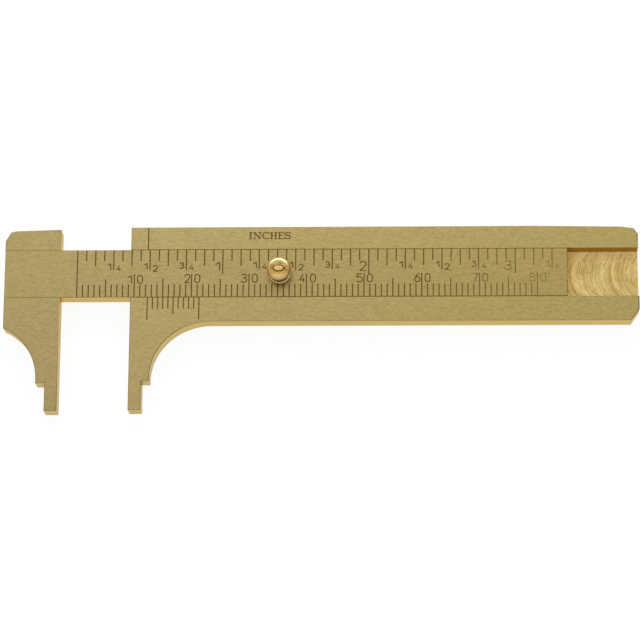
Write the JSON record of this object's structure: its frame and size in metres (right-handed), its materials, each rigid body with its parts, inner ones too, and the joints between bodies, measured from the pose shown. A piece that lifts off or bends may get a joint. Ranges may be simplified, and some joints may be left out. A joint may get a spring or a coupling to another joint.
{
  "type": "button gauge",
  "caption": "Flat brass sliding gauge with two stepped jaws, millimetre and inch scales, a vernier on the channelled frame and a small thumb button.",
  "frame": {"origin": "middle of the frame's back face, on the slide axis", "axes": "+X along the bar towards the frame's free end, +Y across the rails away from the jaws, +Z from the back of the frame up to the engraved face"},
  "size_m": [0.1103, 0.0328, 0.0071],
  "materials": {
    "sheet_brass": "satin, brushed lengthwise",
    "turned_brass": "turned and polished"
  },
  "bodies": {
    "frame": {"fixed_frame": "sheet_brass"},
    "slide": {"slide_bar": "sheet_brass", "slide_jaw": "sheet_brass", "thumb_button": "turned_brass", "button_rivet": "turned_brass"}
  },
  "joints": [
    {"name": "jaw_slide", "type": "slide", "parent": "frame", "child": "slide", "axis": [-1, 0, 0], "range_m": [-0.01233, 0.06765]}
  ]
}
